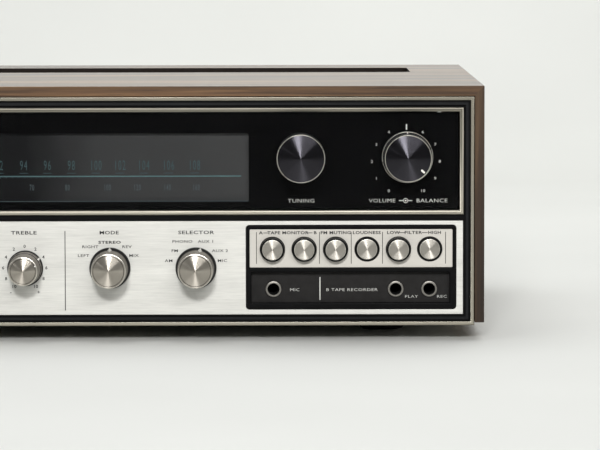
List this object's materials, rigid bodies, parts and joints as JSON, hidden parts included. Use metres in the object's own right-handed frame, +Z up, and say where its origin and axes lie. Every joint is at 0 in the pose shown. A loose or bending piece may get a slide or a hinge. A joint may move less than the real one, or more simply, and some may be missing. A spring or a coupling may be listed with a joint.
{
  "type": "stereo receiver",
  "caption": "Stereo receiver in a wooden case, with a dark tuning dial, turning knobs, push buttons and sockets on a brushed front, and a swing-out antenna at the rear.",
  "frame": {"origin": "on the surface the receiver stands on, under the middle of its overall box", "axes": "+X to the right seen from the front, +Y towards the rear, +Z up; the front faces -Y"},
  "size_m": [0.48, 0.384, 0.153],
  "materials": {
    "walnut": "oiled walnut veneer",
    "black_steel": "matt black paint",
    "heat_sink_black": "black anodised",
    "steel": "zinc plated sheet",
    "rubber": "matt",
    "silver_trim": "satin anodised",
    "black_bezel": "moulded black",
    "smoked_glass": "smoked, polished",
    "dial_grey": "dark grey with printed scales",
    "brushed_panel": "brushed and clear anodised",
    "charcoal": "fine texture",
    "spun_silver": "spun face, turned side",
    "spun_black": "spun face, dark anodised",
    "button_black": "black with a spun silver disc",
    "board": "phenolic board with components",
    "nickel": "nickel-plated bushing",
    "brass": "turned",
    "nylon": "natural nylon",
    "cord_thread": "braided thread",
    "pointer_red": "red",
    "aluminium_plates": "mill finish",
    "transformer": "varnished laminations and windings",
    "phenolic": "phenolic strip with nickel sockets"
  },
  "bodies": {
    "receiver": {"wood_cabinet": "walnut", "vent_grille": "black_steel", "heat_sink": "heat_sink_black", "bottom_cover": "steel", "chassis_tray": "steel", "rear_panel": "steel", "volume_balance_pot": "steel", "speakers_switch": "steel", "mode_switch": "steel", "selector_switch": "steel", "push_switch_bank": "steel", "foot_front_left": "rubber", "foot_rear_left": "rubber", "foot_front_right": "rubber", "foot_rear_right": "rubber", "cord_gland": "rubber", "outer_trim": "silver_trim", "dial_trim": "silver_trim", "black_bezel": "black_bezel", "filter_capacitor": "black_bezel", "speaker_terminals": "black_bezel", "signal_meter": "black_bezel", "dial_glass": "smoked_glass", "dial_scale": "dial_grey", "lower_faceplate": "brushed_panel", "button_plate": "brushed_panel", "inset_bezel": "charcoal", "tone_board": "board", "amplifier_board": "board", "tuner_board": "board", "mic_jack": "nickel", "tape_play_jack": "nickel", "tape_record_jack": "nickel", "phones_jack": "nickel", "dial_cord": "cord_thread", "tuning_capacitor": "aluminium_plates", "power_transformer": "transformer", "phono_jack_strip": "phenolic"},
    "tuning": {"tuning_knob": "spun_black", "tuning_shaft": "brass"},
    "drum": {"tuning_drum": "nylon"},
    "pulley": {"cord_pulley": "nylon"},
    "pointer": {"dial_pointer": "pointer_red"},
    "volume_knob": {"volume_knob": "spun_black"},
    "balance_ring": {"balance_ring": "spun_black"},
    "bass_knob": {"bass_knob": "spun_silver"},
    "bass_ring": {"bass_ring": "spun_silver"},
    "treble_knob": {"treble_knob": "spun_silver"},
    "treble_ring": {"treble_ring": "spun_silver"},
    "mode_knob": {"mode_knob": "spun_silver"},
    "selector_knob": {"selector_knob": "spun_silver"},
    "speakers_knob": {"speakers_knob": "spun_silver"},
    "tape_a_button": {"tape_a_button": "button_black"},
    "tape_b_button": {"tape_b_button": "button_black"},
    "muting_button": {"muting_button": "button_black"},
    "loudness_button": {"loudness_button": "button_black"},
    "low_filter_button": {"low_filter_button": "button_black"},
    "high_filter_button": {"high_filter_button": "button_black"},
    "meter_needle": {"meter_needle": "pointer_red"},
    "antenna": {"ferrite_antenna": "black_bezel"}
  },
  "joints": [
    {"name": "tuning_turn", "type": "hinge", "parent": "receiver", "child": "tuning", "pos_m": [0.1298, -0.18, 0.1107], "axis": [0, 1, 0], "range_deg": [-262, 2124]},
    {"name": "drum_turn", "type": "hinge", "parent": "receiver", "child": "drum", "pos_m": [-0.01, -0.154, 0.08], "axis": [0, 1, 0], "range_deg": [-42.3, 342.3]},
    {"name": "pulley_turn", "type": "hinge", "parent": "receiver", "child": "pulley", "pos_m": [-0.125, -0.154, 0.1087], "axis": [0, 1, 0], "range_deg": [-185.4, 1499.8]},
    {"name": "pointer_slide", "type": "slide", "parent": "receiver", "child": "pointer", "axis": [1, 0, 0], "range_m": [-0.022, 0.178]},
    {"name": "volume_turn", "type": "hinge", "parent": "receiver", "child": "volume_knob", "pos_m": [0.1936, -0.18, 0.1107], "axis": [0, 1, 0], "range_deg": [-281, 19]},
    {"name": "balance_turn", "type": "hinge", "parent": "receiver", "child": "balance_ring", "pos_m": [0.1936, -0.17, 0.1107], "axis": [0, 1, 0], "range_deg": [-135, 135]},
    {"name": "bass_turn", "type": "hinge", "parent": "receiver", "child": "bass_knob", "pos_m": [-0.0867, -0.18, 0.0439], "axis": [0, 1, 0], "range_deg": [-140, 140]},
    {"name": "bass_ring_turn", "type": "hinge", "parent": "receiver", "child": "bass_ring", "pos_m": [-0.0867, -0.17, 0.0439], "axis": [0, 1, 0], "range_deg": [-140, 140]},
    {"name": "treble_turn", "type": "hinge", "parent": "receiver", "child": "treble_knob", "pos_m": [-0.0358, -0.18, 0.0439], "axis": [0, 1, 0], "range_deg": [-207, 73]},
    {"name": "treble_ring_turn", "type": "hinge", "parent": "receiver", "child": "treble_ring", "pos_m": [-0.0358, -0.17, 0.0439], "axis": [0, 1, 0], "range_deg": [-195, 85]},
    {"name": "mode_turn", "type": "hinge", "parent": "receiver", "child": "mode_knob", "pos_m": [0.0151, -0.18, 0.0439], "axis": [0, 1, 0], "range_deg": [-60, 60]},
    {"name": "selector_turn", "type": "hinge", "parent": "receiver", "child": "selector_knob", "pos_m": [0.0668, -0.18, 0.0439], "axis": [0, 1, 0], "range_deg": [-75, 50]},
    {"name": "speakers_turn", "type": "hinge", "parent": "receiver", "child": "speakers_knob", "pos_m": [-0.1383, -0.18, 0.0439], "axis": [0, 1, 0], "range_deg": [-30, 60]},
    {"name": "tape_a_press", "type": "slide", "parent": "receiver", "child": "tape_a_button", "axis": [0, 1, 0], "range_m": [0, 0.0045]},
    {"name": "tape_b_press", "type": "slide", "parent": "receiver", "child": "tape_b_button", "axis": [0, 1, 0], "range_m": [0, 0.0045]},
    {"name": "muting_press", "type": "slide", "parent": "receiver", "child": "muting_button", "axis": [0, 1, 0], "range_m": [0, 0.0045]},
    {"name": "loudness_press", "type": "slide", "parent": "receiver", "child": "loudness_button", "axis": [0, 1, 0], "range_m": [-0.0045, 0]},
    {"name": "low_filter_press", "type": "slide", "parent": "receiver", "child": "low_filter_button", "axis": [0, 1, 0], "range_m": [0, 0.0045]},
    {"name": "high_filter_press", "type": "slide", "parent": "receiver", "child": "high_filter_button", "axis": [0, 1, 0], "range_m": [-0.0045, 0]},
    {"name": "needle_swing", "type": "hinge", "parent": "receiver", "child": "meter_needle", "pos_m": [-0.182, -0.161, 0.095], "axis": [0, 1, 0], "range_deg": [0, 80], "stiffness_Nm_per_rad": 0.00002, "springref_deg": -11.46},
    {"name": "antenna_swing", "type": "hinge", "parent": "receiver", "child": "antenna", "pos_m": [0.205, 0.183, 0.13], "axis": [0, 0, -1], "range_deg": [0, 100]}
  ],
  "couplings": [
    {"joint": "pointer_slide", "follows": "tuning_turn", "m_per_rad": 0.0048},
    {"joint": "drum_turn", "follows": "tuning_turn", "ratio": 0.16107},
    {"joint": "pulley_turn", "follows": "tuning_turn", "ratio": 0.70588}
  ]
}
